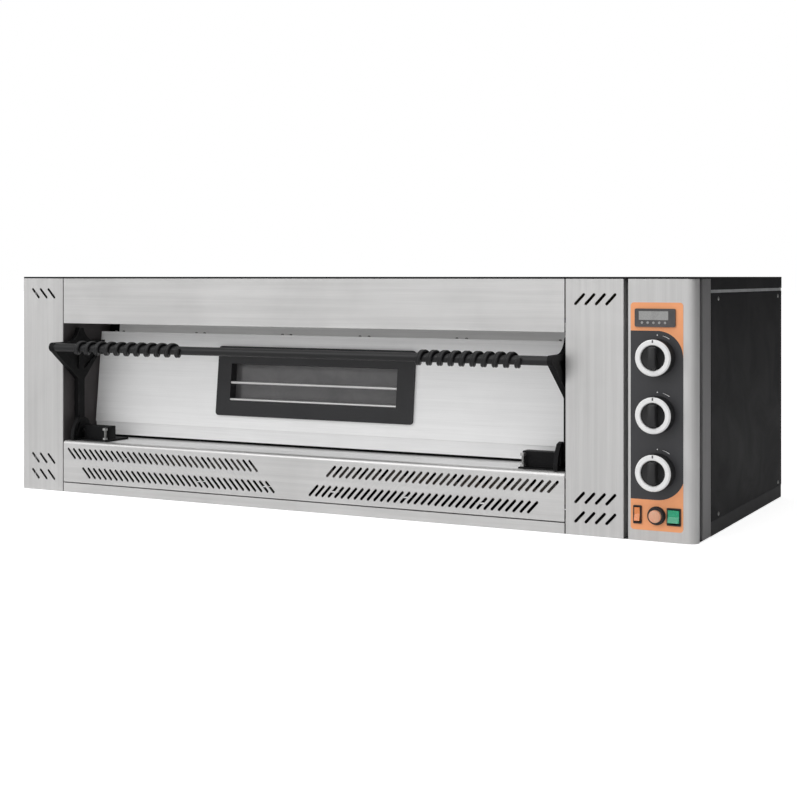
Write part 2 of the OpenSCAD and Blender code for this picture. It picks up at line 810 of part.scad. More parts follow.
// Cast arm: boss at the hinge, leg, a Y head that carries the handle in front and the
// door behind, and a fin on top. The web is thinner than the ribs round it.
function door_face(z) = door_setback + (z - door_z) * tan(door_lean) - 0.05;

fin_r = 34;
fin_step = 12.4;
fin_front = [for (i = [0:6]) [hinge_depth - fin_r - 4 + fin_r * sin(i * fin_step),
                              arm_head_z + fin_r - fin_r * cos(i * fin_step)]];
fin_rear = [for (i = [6:-1:0]) [2 * hinge_depth - fin_front[i][0], fin_front[i][1]]];

module arm_outline(x0, x1) {
  tip_r = arm_head_z - handle_z;
  along_x(x0, x1, hinge_depth, hinge_z, 11);
  along_x(x0, x1, -handle_reach, handle_z, tip_r);
  sideways(x0, x1) polygon(concat(
    [[hinge_depth - leg_w / 2, hinge_z], [hinge_depth - leg_w / 2, 208],
     [hinge_depth - leg_w / 2 - 6, 214],
     [-handle_reach - 0.5 * tip_r, handle_z - 0.8 * tip_r], [-handle_reach, arm_head_z]],
    fin_front, fin_rear,
    [[door_face(arm_head_z), arm_head_z], [door_face(252), 252], [86, 252],
     [hinge_depth + leg_w / 2 + 6, 214], [hinge_depth + leg_w / 2, 208],
     [hinge_depth + leg_w / 2, hinge_z]]));
}

module arm_pockets() {
  polygon([[-22, 270], [hinge_depth - 8, 270], [hinge_depth - 8, 226]]);
  polygon([[hinge_depth + 8, 270], [92, 270], [92, 258], [86, 258], [hinge_depth + 8, 226]]);
}

module arm() {
  x0 = arm_left_x;
  difference() {
    arm_outline(x0, x0 + arm_thick);
    sideways(x0 + arm_thick - 3.5, x0 + arm_thick + 1) arm_pockets();
    sideways(x0 - 1, x0 + 2.5) arm_pockets();
    along_x(x0 - 1, x0 + arm_thick + 1, hinge_depth, hinge_z, hinge_pin_d / 2 + pin_slack);
  }
}
module left_arm() color("#0f0f10") arm();
module right_arm() color("#0f0f10") translate([2 * opening_mid, 0, 0]) mirror([1, 0, 0]) arm();

module handle_bar() color("#2c2c2f")
  along_x(arm_left_x + arm_thick, mirrored(arm_left_x + arm_thick), -handle_reach, handle_z, handle_d / 2);

// Doubled wire wound round the bar, as pairs of rings on a thin sleeve
module grip(span, turns) {
  pitch = (span[1] - span[0]) / turns;
  translate([opening_mid + span[0], at_depth(-handle_reach), handle_z]) rotate([0, 90, 0])
    difference() {
      union() {
        cylinder(r = handle_d / 2 + 1, h = span[1] - span[0]);
        for (i = [0:turns - 1], side = [-1, 1]) translate([0, 0, (i + 0.5) * pitch + side * wire_step])
          rotate_extrude() translate([coil_r - 0.5, 0]) circle(d = coil_wire);
      }
      translate([0, 0, -1]) cylinder(r = handle_d / 2 + 0.1, h = span[1] - span[0] + 2);
    }
}
module left_grip() color("#29292c") grip(left_coil, left_turns);
module right_grip() color("#29292c") grip(right_coil, right_turns);

// Pairs of screws along the door's top edge
module door_screws() color("#4a494b") {
  for (pair = screw_pairs, end = [-1, 1], side = [-1, 1])
    on_door() translate([opening_mid + end * pair + side * screw_half_pitch, 6, door_height])
      cylinder(r = 2.6, h = 2.5);
}

base_pan();
rear_panel();
left_side_panel();
right_side_panel();
top_cover();
side_trims();
corner_uprights();
left_post();
right_post();
top_rail();
grille_panel();
bottom_strip();
sill();
recess_lining();
mouth_frame();
lintel_strip();
chamber_liner();
deck_stones();
stone_rails();
insulation_blanket();
floor_burners();
roof_burner();
gas_manifold();
gas_taps();
cable_gland();
flue_duct();
chamber_lamp();
control_fascia();
heat_shield();
overlay_charcoal();
overlay_orange();
display_bezel();
display_screen();
rocker_frames();
button_bezel();
hinge_brackets();
hinge_pins();
hinge_bolts();
panel_screws();
door_outer_panel();
door_inner_panel();
door_core();
window_frame();
window_bars();
window_glass();
left_arm();
right_arm();
handle_bar();
left_grip();
right_grip();
door_screws();
knob_top();
knob_middle();
knob_bottom();
ring_top();
ring_middle();
ring_bottom();
lamp_rocker();
main_rocker();
push_button();
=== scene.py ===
import json
import math

import bmesh
import bpy
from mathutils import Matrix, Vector


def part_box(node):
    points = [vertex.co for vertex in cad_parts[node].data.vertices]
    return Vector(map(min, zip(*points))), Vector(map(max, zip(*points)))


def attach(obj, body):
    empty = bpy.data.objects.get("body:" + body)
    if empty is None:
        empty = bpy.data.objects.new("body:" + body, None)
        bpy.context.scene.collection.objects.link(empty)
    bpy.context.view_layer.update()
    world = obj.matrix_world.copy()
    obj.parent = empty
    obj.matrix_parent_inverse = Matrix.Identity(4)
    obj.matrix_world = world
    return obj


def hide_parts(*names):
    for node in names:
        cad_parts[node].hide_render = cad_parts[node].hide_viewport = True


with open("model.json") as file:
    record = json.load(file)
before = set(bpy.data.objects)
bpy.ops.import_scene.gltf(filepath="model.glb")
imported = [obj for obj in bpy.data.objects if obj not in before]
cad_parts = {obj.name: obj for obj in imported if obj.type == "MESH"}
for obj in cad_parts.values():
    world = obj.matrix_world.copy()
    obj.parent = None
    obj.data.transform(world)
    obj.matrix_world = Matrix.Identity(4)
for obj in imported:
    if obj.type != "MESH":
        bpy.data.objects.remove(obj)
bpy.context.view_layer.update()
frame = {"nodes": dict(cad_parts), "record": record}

NODES = frame["nodes"]
SLOT_OF = {p["node"]: p["material_slot"] for p in frame["record"]["subparts"]}
MOUNTS = {m["name"]: m for m in frame["record"]["mounts"]}
MM = 0.001
FRONT_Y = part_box("left_post")[0].y
FORWARD = Vector((0, -1, 0))
UP = Vector((0, 0, 1))
FOLD = 0.7  # mm, the radius that the sharp edges of sheets are shaded with
DOOR_LEAN = math.radians(6)  # how far the door leans back, as in part.scad
LEVELS = ("top", "middle", "bottom")  # the three knobs


# ---------------------------------------------------------------- node helpers

class Nodes:
    """A node tree, with short calls for adding and wiring nodes."""

    def __init__(self, tree):
        self.tree = tree

    def add(self, kind, **props):
        node = self.tree.nodes.new(kind)
        for key, value in props.items():
            setattr(node, key, value)
        return node

    def put(self, socket, value):
        """Wires a socket to another one, or sets its value."""
        if isinstance(value, bpy.types.NodeSocket):
            self.tree.links.new(value, socket)
        else:
            socket.default_value = value

    def remap(self, value, low, high, to_low, to_high):
        node = self.add("ShaderNodeMapRange")
        self.put(node.inputs["Value"], value)
        limits = {"From Min": low, "From Max": high, "To Min": to_low, "To Max": to_high}
        for key, limit in limits.items():
            node.inputs[key].default_value = limit
        return node.outputs["Result"]

    def math(self, operation, a, b):
        node = self.add("ShaderNodeMath", operation=operation)
        self.put(node.inputs[0], a)
        self.put(node.inputs[1], b)
        return node.outputs["Value"]


class Graph(Nodes):
    """A new material around one Principled shader."""

    def __init__(self, name):
        self.mat = bpy.data.materials.new(name)
        self.mat.use_nodes = True
        super().__init__(self.mat.node_tree)
        self.bsdf = self.tree.nodes["Principled BSDF"]
        self.coords = self.add("ShaderNodeTexCoord").outputs["Object"]

    def stretched(self, scale):
        """Object coordinates scaled by a different amount along each axis."""
        node = self.add("ShaderNodeMapping")
        self.put(node.inputs["Vector"], self.coords)
        node.inputs["Scale"].default_value = scale
        return node.outputs["Vector"]

    def noise(self, scale, detail=3.0, rough=0.55, vector=None, distortion=0.0):
        node = self.add("ShaderNodeTexNoise")
        self.put(node.inputs["Vector"], vector or self.coords)
        node.inputs["Scale"].default_value = scale
        node.inputs["Detail"].default_value = detail
        node.inputs["Roughness"].default_value = rough
        node.inputs["Distortion"].default_value = distortion
        return node.outputs["Fac"]

    def spread(self, noise, to_low, to_high):
        """Stretches the band of 0.3 to 0.7, which holds nearly all of a noise."""
        return self.remap(noise, 0.3, 0.7, to_low, to_high)

    def cells(self, scale, feature="F1", vector=None, output="Distance"):
        node = self.add("ShaderNodeTexVoronoi", feature=feature)
        self.put(node.inputs["Vector"], vector or self.coords)
        node.inputs["Scale"].default_value = scale
        return node.outputs[output]

    def mix(self, factor, a, b, mode="MIX"):
        node = self.add("ShaderNodeMix", data_type="RGBA", blend_type=mode)
        self.put(node.inputs["Factor"], factor)
        self.put(node.inputs["A"], a if isinstance(a, bpy.types.NodeSocket) else (*a, 1.0))
        self.put(node.inputs["B"], b if isinstance(b, bpy.types.NodeSocket) else (*b, 1.0))
        return node.outputs["Result"]

    def rounded(self, radius):
        """The normal as if sharp edges had this radius, in mm."""
        node = self.add("ShaderNodeBevel", samples=4)
        node.inputs["Radius"].default_value = radius * MM
        return node.outputs["Normal"]

    def bump(self, height, strength, depth, fold=0.0):
        """Surface relief of this depth; fold is the radius of sharp edges, both in mm."""
        node = self.add("ShaderNodeBump")
        self.put(node.inputs["Height"], height)
        node.inputs["Strength"].default_value = strength
        node.inputs["Distance"].default_value = depth * MM
        if fold:
            self.put(node.inputs["Normal"], self.rounded(fold))
        self.set("Normal", node.outputs["Normal"])

    def edges(self, radius):
        """About 1 on worn outer edges of this radius in mm, and 0 on open faces."""
        dot = self.add("ShaderNodeVectorMath", operation="DOT_PRODUCT")
        self.put(dot.inputs[0], self.rounded(radius))
        self.put(dot.inputs[1], self.add("ShaderNodeNewGeometry").outputs["Normal"])
        return self.remap(dot.outputs["Value"], 0.98, 0.86, 0.0, 1.0)

    def set(self, socket, value):
        """Sets or wires one of the shader's own sockets."""
        self.put(self.bsdf.inputs[socket], value)

    def glow(self, colour, strength):
        if strength:
            self.set("Emission Color", colour)
            self.set("Emission Strength", strength)

    def finish(self, colour, rough, metal=0.0):
        self.set("Base Color", colour)
        self.set("Roughness", rough)
        self.set("Metallic", metal)
        return self.mat


def shade(colour, factor):
    return tuple(c * factor for c in colour)


def grain(along, loose, tight):
    """Scales that draw a noise out along one axis."""
    return (loose, tight, tight) if along == "X" else (tight, tight, loose)


# ---------------------------------------------------------------- materials

def brushed(name, colour, along="X", rough=0.38, metal=1.0, contrast=0.25, cloud=0.25, glow=0.0):
    """Sheet steel with fine scratches along one axis, faint streaks and handling smudges; a glow, where
    given, is painted light: the steel gives off its own tone.
    """
    g = Graph(name)
    scratch = g.noise(1.0, 4.0, 0.6, g.stretched(grain(along, 9, 1000)))
    streak = g.noise(1.0, 2.0, 0.5, g.stretched(grain(along, 2.2, 130)))
    smudge = g.noise(7.0, 4.0, 0.55, distortion=0.6)
    tone = g.math("ADD", g.spread(streak, 0.5 - contrast, 0.5 + contrast),
                  g.spread(smudge, -cloud, cloud))
    tone = g.mix(tone, shade(colour, 0.9), shade(colour, 1.1))
    tone = g.mix(g.remap(scratch, 0.42, 0.75, 0.0, 0.2), tone, shade(colour, 0.72))
    wear = g.math("ADD", g.remap(scratch, 0.25, 0.75, rough - 0.07, rough + 0.07),
                  g.remap(smudge, 0.4, 0.7, 0.0, 0.07))
    g.bump(scratch, 0.12, 0.08, FOLD)
    g.set("Anisotropic", 0.35)
    # painted light: the steel's own tone glows, lifting it where shade falls on it
    g.glow(tone, glow)
    return g.finish(tone, wear, metal)


def sprayed(name, colour, rough=0.45, worn=(0.22, 0.22, 0.23), radius=0.9, shine=0.3):
    """Powder coat or stove paint: orange-peel bump, dust, and paler edges where it has rubbed."""
    g = Graph(name)
    peel = g.noise(900.0, 2.0, 0.5)
    dust = g.noise(9.0, 5.0, 0.6, distortion=0.8)
    tone = g.mix(g.remap(dust, 0.35, 0.7, 0.0, 1.0), shade(colour, 0.88), shade(colour, 1.16))
    rub = g.math("MULTIPLY", g.edges(radius), g.remap(g.noise(60.0), 0.35, 0.7, 0.15, 0.8))
    tone = g.mix(rub, tone, worn)
    g.bump(peel, 0.18, 0.1, FOLD)
    g.set("Specular IOR Level", shine)
    return g.finish(tone, g.remap(dust, 0.3, 0.75, rough - 0.04, rough + 0.08))


def casting(name, colour):
    """Painted sand casting: pebbled skin, sooty hollows, a little bare iron on the edges."""
    g = Graph(name)
    pebble = g.noise(420.0, 5.0, 0.65)
    height = g.math("ADD", pebble, g.math("MULTIPLY", g.cells(300.0), 0.5))
    tone = g.mix(g.noise(25.0, 4.0), shade(colour, 0.6), shade(colour, 1.5))
    rub = g.math("MULTIPLY", g.edges(1.2), g.remap(g.noise(80.0), 0.4, 0.7, 0.05, 0.55))
    tone = g.mix(rub, tone, (0.16, 0.155, 0.15))
    g.bump(height, 0.5, 0.4)
    g.set("Specular IOR Level", 0.18)
    return g.finish(tone, g.spread(pebble, 0.48, 0.68))


def spangled(name, colour):
    """Galvanised sheet: zinc crystals in slightly different greys."""
    g = Graph(name)
    bent = g.mix(0.02, g.coords, g.noise(60.0, 2.0), "ADD")
    grey = g.add("ShaderNodeRGBToBW")
    g.put(grey.inputs["Color"], g.cells(70.0, vector=bent, output="Color"))
    crystal = grey.outputs["Val"]
    tone = g.mix(crystal, shade(colour, 0.84), shade(colour, 1.1))
    tone = g.mix(g.remap(g.noise(6.0, 4.0), 0.45, 0.75, 0.0, 0.3), tone, shade(colour, 0.8))
    return g.finish(tone, g.remap(crystal, 0.0, 1.0, 0.34, 0.5), 1.0)


def heated(name, colour, hot=(0.30, 0.22, 0.16)):
    """Steel that has been in the fire: straw and brown bloom over dull metal."""
    g = Graph(name)
    bloom = g.noise(11.0, 5.0, 0.6, distortion=1.2)
    speck = g.noise(260.0, 4.0, 0.6)
    tone = g.mix(g.remap(bloom, 0.38, 0.68, 0.0, 0.8), colour, hot)
    tone = g.mix(g.remap(speck, 0.55, 0.8, 0.0, 0.5), tone, shade(colour, 0.4))
    g.bump(speck, 0.2, 0.1)
    return g.finish(tone, g.spread(bloom, 0.42, 0.62), 0.85)


def stone(name, colour):
    """Refractory slab: sandy grain, open pits painted darker with the shade inside them, and scorched
    patches.
    """
    g = Graph(name)
    sand = g.noise(520.0, 5.0, 0.7)
    pits = g.remap(g.cells(230.0), 0.0, 0.35, 0.0, 1.0)
    scorch = g.remap(g.noise(8.0, 5.0, 0.6, distortion=0.5), 0.48, 0.75, 0.0, 0.7)
    tone = g.mix(sand, shade(colour, 0.74), shade(colour, 1.1))
    tone = g.mix(scorch, tone, shade(colour, 0.36))
    # painted shade: each pit is darkened as the shadow inside it
    tone = g.mix(pits, shade(colour, 0.5), tone)
    g.bump(g.math("ADD", sand, pits), 0.45, 0.5)
    return g.finish(tone, g.spread(sand, 0.78, 0.93))


def wool(name, colour):
    """Mineral wool: matted fibres lying mostly along the blanket."""
    g = Graph(name)
    fibre = g.noise(1.0, 6.0, 0.7, g.stretched((120, 500, 420)), 1.5)
    clump = g.noise(45.0, 4.0, 0.6)
    tone = g.mix(fibre, shade(colour, 0.62), shade(colour, 1.12))
    tone = g.mix(g.remap(clump, 0.4, 0.7, 0.0, 0.4), tone, shade(colour, 0.7))
    g.bump(g.math("ADD", fibre, clump), 0.7, 1.5)
    g.set("Sheen Weight", 0.25)
    return g.finish(tone, g.spread(fibre, 0.85, 0.98))


def turned(name, colour, rough=0.28, tarnish=(0.25, 0.19, 0.10)):
    """Machined brass or plated steel, tarnished unevenly."""
    g = Graph(name)
    spots = g.noise(90.0, 5.0, 0.6)
    tooling = g.noise(1.0, 2.0, 0.5, g.stretched((1500, 1500, 1500)))
    tone = g.mix(g.remap(spots, 0.45, 0.78, 0.0, 0.6), colour, tarnish)
    g.bump(tooling, 0.1, 0.05)
    return g.finish(tone, g.spread(spots, rough - 0.05, rough + 0.14), 1.0)


def moulded(name, colour, rough=0.4, lift=1.3, worn=None):
    """Spark-eroded plastic: fine even texture and faint flow marks, paler edges if worn."""
    g = Graph(name)
    texture = g.noise(1400.0, 2.0, 0.5)
    flow = g.noise(30.0, 3.0, 0.5, distortion=0.7)
    tone = g.mix(g.spread(flow, 0.0, 1.0), shade(colour, 1 / lift), shade(colour, lift))
    if worn:
        tone = g.mix(g.math("MULTIPLY", g.edges(0.6), 0.7), tone, worn)
    g.bump(texture, 0.15, 0.06)
    return g.finish(tone, g.spread(flow, rough - 0.05, rough + 0.07))


def film(name, colour):
    """Screen-printed polyester film over a fine matt emboss."""
    g = Graph(name)
    emboss = g.noise(2200.0, 2.0, 0.5)
    ink = g.noise(14.0, 4.0, 0.55)
    tone = g.mix(g.spread(ink, 0.0, 1.0), shade(colour, 0.95), shade(colour, 1.05))
    tone = g.mix(g.remap(emboss, 0.4, 0.7, 0.0, 0.12), tone, shade(colour, 0.8))
    g.bump(emboss, 0.1, 0.04)
    g.set("Coat Weight", 0.15)
    g.set("Coat Roughness", 0.3)
    return g.finish(tone, g.spread(ink, 0.38, 0.48))


def lens(name, colour, glow):
    """Tinted translucent moulding with a ribbed inside and a soft depth of colour."""
    g = Graph(name)
    ribs = g.noise(1.0, 2.0, 0.4, g.stretched((900, 60, 160)))
    depth = g.noise(70.0, 3.0, 0.5)
    tone = g.mix(depth, shade(colour, 0.86), shade(colour, 1.08))
    tone = g.mix(g.remap(ribs, 0.4, 0.7, 0.0, 0.25), tone, shade(colour, 0.7))
    g.bump(ribs, 0.06, 0.05)
    g.set("Subsurface Weight", 0.25)
    g.set("Subsurface Scale", 2 * MM)
    g.set("Coat Weight", 0.3)
    g.glow(tone, glow)
    return g.finish(tone, g.spread(depth, 0.18, 0.30))


def lcd(name, colour):
    """Unlit liquid-crystal glass: faint resting segments in a cloudy grey."""
    g = Graph(name)
    rows = g.cells(1.0, vector=g.stretched((420, 420, 230)), feature="DISTANCE_TO_EDGE")
    cloud = g.noise(60.0, 3.0, 0.5)
    tone = g.mix(cloud, shade(colour, 0.82), shade(colour, 1.15))
    tone = g.mix(g.remap(rows, 0.0, 0.25, 0.35, 0.0), tone, shade(colour, 0.6))
    g.set("Coat Weight", 0.6)
    g.set("Coat Roughness", 0.1)
    return g.finish(tone, g.spread(cloud, 0.22, 0.34))


def smoked_glass(name, colour, rough=0.06, clear=0.55):
    """Heat-proof glass with a faint baked-on haze and a few fine drips."""
    g = Graph(name)
    haze = g.noise(16.0, 5.0, 0.6, distortion=0.5)
    drips = g.noise(1.0, 3.0, 0.5, g.stretched((140, 140, 12)))
    tone = g.mix(g.remap(haze, 0.35, 0.7, 0.0, 1.0), shade(colour, 0.85), shade(colour, 1.15))
    g.set("Transmission Weight", clear)
    g.set("IOR", 1.48)
    wear = g.math("ADD", g.remap(haze, 0.35, 0.75, rough, rough + 0.1),
                  g.remap(drips, 0.5, 0.75, 0.0, 0.06))
    return g.finish(tone, wear)


# Each slot of the record: how its material is made, its colour, and what else it is given.
RECIPES = {
    "stainless": (brushed, (0.70, 0.695, 0.69), dict(metal=0.75)),
    "stainless_post": (brushed, (0.68, 0.675, 0.67), dict(along="Z", rough=0.40, metal=0.75)),
    # painted light: the door's steel is a brighter copy of the stainless with a faint glow, so it reads
    # evenly lit under the top rail
    "stainless_door": (brushed, (0.82, 0.82, 0.82),
                       dict(rough=0.5, metal=0.25, contrast=0.125, cloud=0.125, glow=0.12)),
    # painted shade: a darker copy of the brushed steel, for the corner uprights, standing in for the dim
    # light on the oven's sides
    "dark_steel": (brushed, (0.33, 0.325, 0.33), dict(along="Z", rough=0.5)),
    "galvanised": (spangled, (0.60, 0.61, 0.62), {}),
    "aluminised": (heated, (0.42, 0.40, 0.38), {}),
    "black_paint": (sprayed, (0.006, 0.0058, 0.0072),
                    dict(rough=0.5, worn=(0.04, 0.04, 0.043), shine=0.1)),
    "skirt_paint": (sprayed, (0.030, 0.030, 0.032), dict(rough=0.55, worn=(0.08, 0.08, 0.083))),
    "charcoal_lining": (sprayed, (0.075, 0.068, 0.069), dict(rough=0.6)),
    "black_cast": (casting, (0.004, 0.004, 0.0045), {}),
    "refractory": (stone, (0.56, 0.47, 0.36), {}),
    "wool": (wool, (0.60, 0.53, 0.30), {}),
    "burner_steel": (heated, (0.36, 0.33, 0.30), dict(hot=(0.20, 0.12, 0.07))),
    "brass": (turned, (0.60, 0.43, 0.17), {}),
    "overlay_dark": (film, (0.034, 0.034, 0.038), {}),
    "overlay_orange": (film, (0.97, 0.40, 0.175), {}),
    "bezel_plastic": (moulded, (0.012, 0.012, 0.013), {}),
    "display_plastic": (moulded, (0.075, 0.072, 0.074), {}),
    "lcd": (lcd, (0.38, 0.38, 0.375), {}),
    "knob_plastic": (moulded, (0.013, 0.013, 0.014), dict(rough=0.42, worn=(0.05, 0.05, 0.052))),
    "ring_white": (moulded, (0.93, 0.93, 0.93), dict(rough=0.3, lift=1.02)),
    "button_lens": (lens, (0.80, 0.42, 0.27), dict(glow=0.05)),
    "rocker_orange": (lens, (0.85, 0.28, 0.09), dict(glow=0.05)),
    "rocker_green": (lens, (0.012, 0.37, 0.19), dict(glow=0.08)),
    "handle_black": (sprayed, (0.009, 0.009, 0.010),
                     dict(rough=0.40, worn=(0.12, 0.12, 0.125), radius=1.0, shine=0.4)),
    "coil_black": (sprayed, (0.009, 0.009, 0.010),
                   dict(rough=0.36, worn=(0.10, 0.10, 0.105), radius=0.8, shine=0.4)),
    "window_paint": (sprayed, (0.030, 0.030, 0.032), dict(rough=0.5, worn=(0.09, 0.09, 0.093))),
    "glass": (smoked_glass, (0.28, 0.275, 0.28), {}),
    "zinc": (turned, (0.46, 0.46, 0.455), dict(rough=0.34, tarnish=(0.26, 0.25, 0.23))),
    "lamp_glass": (smoked_glass, (0.90, 0.88, 0.80), dict(rough=0.3, clear=0.6)),
    "gland_nylon": (moulded, (0.022, 0.022, 0.024), dict(rough=0.45)),
}


# ---------------------------------------------------------------- mesh helpers

def piece(name, bm, body, slot, *replaced, sharp=math.radians(40)):
    """Turns a bmesh into an object that rides on a body and takes a slot's material."""
    bmesh.ops.recalc_face_normals(bm, faces=bm.faces)
    mesh = bpy.data.meshes.new(name)
    bm.to_mesh(mesh)
    bm.free()
    mesh.shade_smooth()
    mesh.set_sharp_from_angle(angle=sharp)
    obj = bpy.data.objects.new(name, mesh)
    bpy.context.scene.collection.objects.link(obj)
    mesh.materials.append(MATERIALS[slot])
    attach(obj, body)
    if replaced:
        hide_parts(*replaced)


def turn_to(axis):
    """The rotation that lays +Z along axis."""
    return UP.rotation_difference(axis).to_matrix()


def loft(bm, loops, capped=True):
    """Adds the skin over a row of loops that have as many points, and its two end faces."""
    for a, b in zip(loops, loops[1:]):
        for k in range(len(a)):
            n = (k + 1) % len(a)
            bm.faces.new([a[k], a[n], b[n], b[k]])
    if capped:
        bm.faces.new(loops[0])
        bm.faces.new(loops[-1])


def lathe(bm, profile, centre, axis=FORWARD, count=64):
    """Adds a surface of revolution: profile is (radius, distance along axis) pairs in mm. Radius 0
    closes an end in a point; otherwise the ends are joined, as for a ring."""
    turn = turn_to(axis)
    loops = []
    for r, h in ((r * MM, h * MM) for r, h in profile):
        if r == 0:
            loops.append([bm.verts.new(centre + turn @ Vector((0, 0, h)))])
        else:
            angles = [2 * math.pi * k / count for k in range(count)]
            loops.append([bm.verts.new(centre + turn @ Vector((r * math.cos(t), r * math.sin(t), h)))
                          for t in angles])
    pairs = list(zip(loops, loops[1:]))
    if len(loops[0]) > 1 and len(loops[-1]) > 1:
        pairs.append((loops[-1], loops[0]))
    for a, b in pairs:
        for k in range(count):
            n = (k + 1) % count
            corners = [a[k % len(a)], a[n % len(a)], b[n % len(b)], b[k % len(b)]]
            corners = list(dict.fromkeys(corners))
            if len(corners) > 2:
                bm.faces.new(corners)


def sweep(bm, points, radius, sides=12):
    """Adds a round wire along a path of points, with domed ends."""
    dome = [(0.35, 0.94), (0.7, 0.7), (0.94, 0.35)]  # width and reach, as shares of the radius
    stations = []
    up = None
    for i, point in enumerate(points):
        ahead = points[min(i + 1, len(points) - 1)] - points[max(i - 1, 0)]
        ahead.normalize()
        if up is None:
            up = ahead.orthogonal().normalized()
        up = (up - ahead * up.dot(ahead)).normalized()
        stations.append((point, ahead, up, ahead.cross(up)))
    first, first_ahead, first_up, first_side = stations[0]
    last, last_ahead, last_up, last_side = stations[-1]
    rings = [(first - first_ahead * radius * reach, first_up, first_side, radius * width)
             for width, reach in dome]
    rings += [(point, up, side, radius) for point, _, up, side in stations]
    rings += [(last + last_ahead * radius * reach, last_up, last_side, radius * width)
              for width, reach in reversed(dome)]
    loops = []
    for point, up, side, r in rings:
        angles = [2 * math.pi * k / sides for k in range(sides)]
        loops.append([bm.verts.new(point + (up * math.cos(t) + side * math.sin(t)) * r)
                      for t in angles])
    loft(bm, loops, capped=False)
    for tip, loop in ((first - first_ahead * radius, loops[0]), (last + last_ahead * radius, loops[-1])):
        point = bm.verts.new(tip)
        for k in range(sides):
            bm.faces.new([loop[k], loop[(k + 1) % sides], point])


def slab(bm, lo, hi, edge):
    """Adds a box with rounded edges."""
    made = bmesh.ops.create_cube(bm, size=1.0)["verts"]
    for v in made:
        v.co = Vector((lo[i] if v.co[i] < 0 else hi[i] for i in range(3)))
    faces = {f for v in made for f in v.link_faces}
    sides = list({e for f in faces for e in f.edges})
    bmesh.ops.bevel(bm, geom=sides, offset=edge, segments=2, profile=0.6, affect="EDGES")


def arc(bm, centre, y, inner, outer, start, end):
    """Adds a flat arc on the front that widens from start to end, degrees clockwise from the top."""
    steps, thick, taper = 16, 0.1 * MM, 0.35
    loops = []
    for i in range(steps + 1):
        t = math.radians(start + (end - start) * i / steps)
        inset = taper * (outer - inner) * (1 - i / steps)
        low, high = inner + inset, outer - inset
        corners = ((low, y), (high, y), (high, y - thick), (low, y - thick))
        loops.append([bm.verts.new(Vector((centre.x + r * math.sin(t), depth,
                                           centre.z + r * math.cos(t)))) for r, depth in corners])
    loft(bm, loops)


def screw_head(bm, centre, axis, radius, height, socket):
    """Adds a pan head with a hexagon socket."""
    count = 24
    turn = turn_to(axis)

    def loop(r, h, hexagon=False):
        made = []
        for k in range(count):
            t = 2 * math.pi * k / count
            reach = r
            if hexagon:
                reach = r * math.cos(math.pi / 6) / math.cos(t % (math.pi / 3) - math.pi / 6)
            local = Vector((reach * math.cos(t), reach * math.sin(t), h))
            made.append(bm.verts.new(centre + turn @ local))
        return made

    outline = [(0.98, 0), (1, 0.2), (0.93, 0.62), (0.75, 0.9), (0.6, 1)]  # shares of both sizes
    loops = [loop(radius * wide, height * high) for wide, high in outline]
    loops += [loop(socket, height, True), loop(socket * 0.97, height * 0.25, True)]
    loft(bm, loops)


def weld(obj):
    """Joins the doubled points of a CAD mesh, as a modifier."""
    obj.modifiers.new("weld", "WELD").merge_threshold = 0.02 * MM


def round_edges(node, width):
    """A fold radius or casting radius in mm on a CAD node, as modifiers on top of its mesh."""
    obj = NODES[node]
    weld(obj)
    bevel = obj.modifiers.new("edge_radius", "BEVEL")
    bevel.width = width * MM
    bevel.segments = 3
    bevel.limit_method = "ANGLE"
    bevel.angle_limit = math.radians(35)
    bevel.harden_normals = True
    bevel.use_clamp_overlap = True


def middle(node):
    lo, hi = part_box(node)
    return (lo + hi) / 2


def solids_of(node):
    """Lowest and highest corner of each separate solid of a CAD node."""
    bm = bmesh.new()
    bm.from_mesh(NODES[node].data)
    bmesh.ops.remove_doubles(bm, verts=bm.verts, dist=0.01 * MM)
    seen, found = set(), []
    for start in bm.verts:
        if start in seen:
            continue
        stack, group = [start], []
        seen.add(start)
        while stack:
            v = stack.pop()
            group.append(v.co.copy())
            for e in v.link_edges:
                other = e.other_vert(v)
                if other not in seen:
                    seen.add(other)
                    stack.append(other)
        lo = Vector((min(c[i] for c in group) for i in range(3)))
        hi = Vector((max(c[i] for c in group) for i in range(3)))
        found.append((lo, hi))
    bm.free()
    return sorted(found, key=lambda b: tuple(round(x, 5) for x in b[0]))


# ---------------------------------------------------------------- pieces

def wound_grip(node, turns):
    """Doubled wire wound round the handle bar, as two helices side by side."""
    lo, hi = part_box(node)
    centre = middle(node)
    wire_r = 2.75 * MM
    coil_r = (hi.z - lo.z) / 2 - wire_r
    end_gap = 6 * MM
    start, end = lo.x + end_gap, hi.x - end_gap
    apart = 1.02 * wire_r  # half the space between the two wires' middles
    lead = 0.25  # radians by which each wire is ahead of or behind the middle of the pair
    steps = int(turns * 30)
    bm = bmesh.new()
    for side in (-1, 1):
        points = []
        for i in range(steps + 1):
            angle = 2 * math.pi * turns * i / steps + lead * side
            x = start + (end - start) * i / steps + side * apart
            points.append(Vector((x, centre.y + coil_r * math.cos(angle),
                                  centre.z - coil_r * math.sin(angle))))
        sweep(bm, points, wire_r)
    piece(node.replace("grip", "handle_winding"), bm, "door", "coil_black", node)


def knob_skirt(node, centre):
    """The spindle, the rolled skirt and the dished face."""
    bm = bmesh.new()
    lathe(bm, [(0, -38), (3.6, -38), (4, -37.5), (4, 2.2), (23.5, 2.2), (23.8, 1.2), (27.2, 1.2),
               (28, 2), (27.8, 8), (27.4, 19), (27.1, 21.2), (26.6, 21.9), (19.2, 21.9),
               (18.6, 21.4), (17.5, 20.6), (9, 19.6), (0, 19.4)], centre)
    piece(f"{node}_body", bm, node, "knob_plastic", node)


